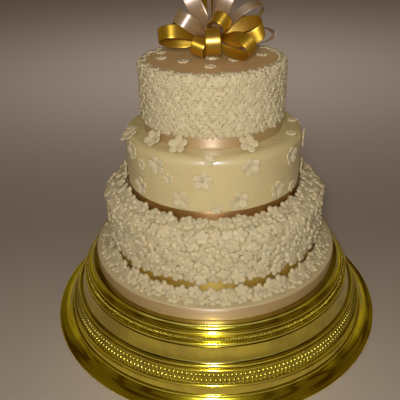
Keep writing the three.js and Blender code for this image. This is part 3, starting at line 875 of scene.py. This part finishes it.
# The pad is a pressed lump: a flat dome, radius cos^0.55 and height sin of one angle, whose rim waves.
def makePad():
    radius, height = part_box("bow_pad")[1].x - bow["padClearance"], topOf("bow_pad") - cakeTop
    climb = np.linspace(0, 1, 14) * math.pi / 2
    side = np.stack([radius * np.cos(climb) ** 0.55, cakeTop + height * np.sin(climb)], -1)
    side[-1, 0] = 0  # on the axis
    points, faces = turned(np.concatenate([[[0, cakeTop]], side]), 72)
    angle = np.arctan2(points[:, 1], points[:, 0])
    wave = 1 - 0.05 * (1 + np.sin(3 * angle + 1) * np.cos(5 * angle))
    points[:, :2] *= wave[:, None]
    makePiece("bowPad", points, faces, ivoryIcing, ["bow_pad"], crease=60)


makeBow()
makeKnot()
makePad()
print("bow made")


# Floor, light and camera. Each lamp has its place, what it points at, power, size and colour.
studio = {
    "floorColour": (0.52, 0.46, 0.42), "floorRadius": 9.0,
    "key": ((-0.02, -0.60, 0.50), (0, 0, 0.19), 1.95, 0.08, (1.0, 0.93, 0.80)),
    "glint": ((-0.02, -0.60, 0.50), (0, 0, 0.19), 3.6, 0.05, (0.88, 1.0, 1.45)),
    "back": ((0.0, 0.9, 1.3), (0, 3.2, 0), 11.0, 1.2, (1.0, 0.94, 0.88)),
    "front": ((0.0, -0.85, 0.4), (0, -0.85, 0), 0.6, 0.4, (1, 0.96, 0.9)),
    "frontSky": (0.46, 0.44, 0.41), "sideSky": (0.162, 0.146, 0.113), "highSky": (0.125, 0.088, 0.06),
    "glossFront": (0.56, 0.55, 0.62), "glossSide": (0.34, 0.275, 0.035), "glossHigh": (0.11, 0.08, 0.012),
    "glossDark": (0.03, 0.010, 0.002),
    "openingWay": (16.8, 13.4, 3.6), "openingShift": 0.75,  # how closely and where the openings stand
}


def makeFloor():
    mesh = bpy.data.meshes.new("floor")
    size = studio["floorRadius"]
    corners = [(-size, -size, 0), (size, -size, 0), (size, size, 0), (-size, size, 0)]
    mesh.from_pydata(corners, [], [(0, 1, 2, 3)])
    material = bpy.data.materials.new("floorPaper")
    material.use_nodes = True
    shader = material.node_tree.nodes["Principled BSDF"]
    shader.inputs["Base Color"].default_value = (*studio["floorColour"], 1)
    shader.inputs["Roughness"].default_value = 0.9
    mesh.materials.append(material)
    floor = bpy.data.objects.new("floor", mesh)
    bpy.context.scene.collection.objects.link(floor)


def makeLight(name):
    place, target, power, size, colour = studio[name]
    light = bpy.data.lights.new(name, "AREA")
    light.shape = "DISK"
    light.size = size
    light.energy = power
    light.color = colour
    lamp = bpy.data.objects.new(name, light)
    lamp.location = place
    lamp.rotation_euler = (Vector(target) - Vector(place)).to_track_quat("-Z", "Y").to_euler()
    lamp.visible_diffuse = name != "glint"  # the glint only brightens the gloss
    bpy.context.scene.collection.objects.link(lamp)


# The studio walls are pale low down in front, and dim at the sides and overhead, with broad
# uneven patches. Polished things see a brighter front wall than matt ones are lit by, and dark
# openings high up at both sides, where the sine of a slanted measure of the direction is high.
def makeWorld():
    world = bpy.data.worlds.new("studio")
    world.use_nodes = True
    tree = world.node_tree
    way = addNode(tree, "ShaderNodeTexCoord").outputs["Generated"]
    sideways, forth, upward = addNode(tree, "ShaderNodeSeparateXYZ", {"Vector": way}).outputs[:3]
    patches = addNode(tree, "ShaderNodeTexNoise", {"Vector": way, "Scale": 2.2, "Detail": 2.0}).outputs["Fac"]
    stray = ranged(tree, patches, 0.3, 0.7, -0.2, 0.2)
    behind = worked(tree, "ADD", forth, stray)
    back = ranged(tree, behind, -0.9, -0.2)
    high = ranged(tree, worked(tree, "ADD", upward, stray), 0.08, 0.5)
    walls = []
    for front, side, top in (("frontSky", "sideSky", "highSky"), ("glossFront", "glossSide", "glossHigh")):
        low = mixed(tree, back, (*studio[front], 1), (*studio[side], 1))
        walls.append(mixed(tree, high, low, (*studio[top], 1)))
    aside = worked(tree, "ABSOLUTE", sideways)
    measure = addNode(tree, "ShaderNodeCombineXYZ", {"X": aside, "Y": behind, "Z": sideways}).outputs[0]
    slant = addNode(tree, "ShaderNodeVectorMath", {0: measure, 1: studio["openingWay"]},
                    operation="DOT_PRODUCT").outputs["Value"]
    gaps = ranged(tree, worked(tree, "SINE", worked(tree, "ADD", slant, studio["openingShift"])), 0.3, 0.42)
    openings = worked(tree, "MULTIPLY", worked(tree, "MULTIPLY", high, gaps), ranged(tree, aside, 0.26, 0.34))
    polished = mixed(tree, openings, walls[1], (*studio["glossDark"], 1))
    seen = addNode(tree, "ShaderNodeLightPath").outputs["Is Glossy Ray"]
    tree.links.new(mixed(tree, seen, walls[0], polished), tree.nodes["Background"].inputs["Color"])
    bpy.context.scene.world = world


# The camera stands above and in front, turned, tipped down and rolled by small angles.
camera = {
    "place": (0.0, -0.5527, 0.4455), "turn": 1.81, "tip": -28.81, "roll": -1.57,
    "lens": 44.46, "sensor": 36, "nearest": 0.01,
}


def makeCamera():
    data = bpy.data.cameras.new("camera")
    data.lens = camera["lens"]
    data.sensor_width = camera["sensor"]
    data.sensor_fit = "HORIZONTAL"
    data.clip_start = camera["nearest"]
    body = bpy.data.objects.new("camera", data)
    aim = Matrix.Rotation(math.radians(camera["turn"]), 4, "Z")
    aim = aim @ Matrix.Rotation(math.radians(90 + camera["tip"]), 4, "X")
    aim = aim @ Matrix.Rotation(math.radians(camera["roll"]), 4, "Z")
    body.matrix_world = Matrix.Translation(camera["place"]) @ aim
    bpy.context.scene.collection.objects.link(body)
    bpy.context.scene.camera = body


makeFloor()
for lampName in ("key", "glint", "back", "front"):
    makeLight(lampName)
makeWorld()
makeCamera()
bpy.context.scene.view_settings.view_transform = "Standard"
print("studio made")
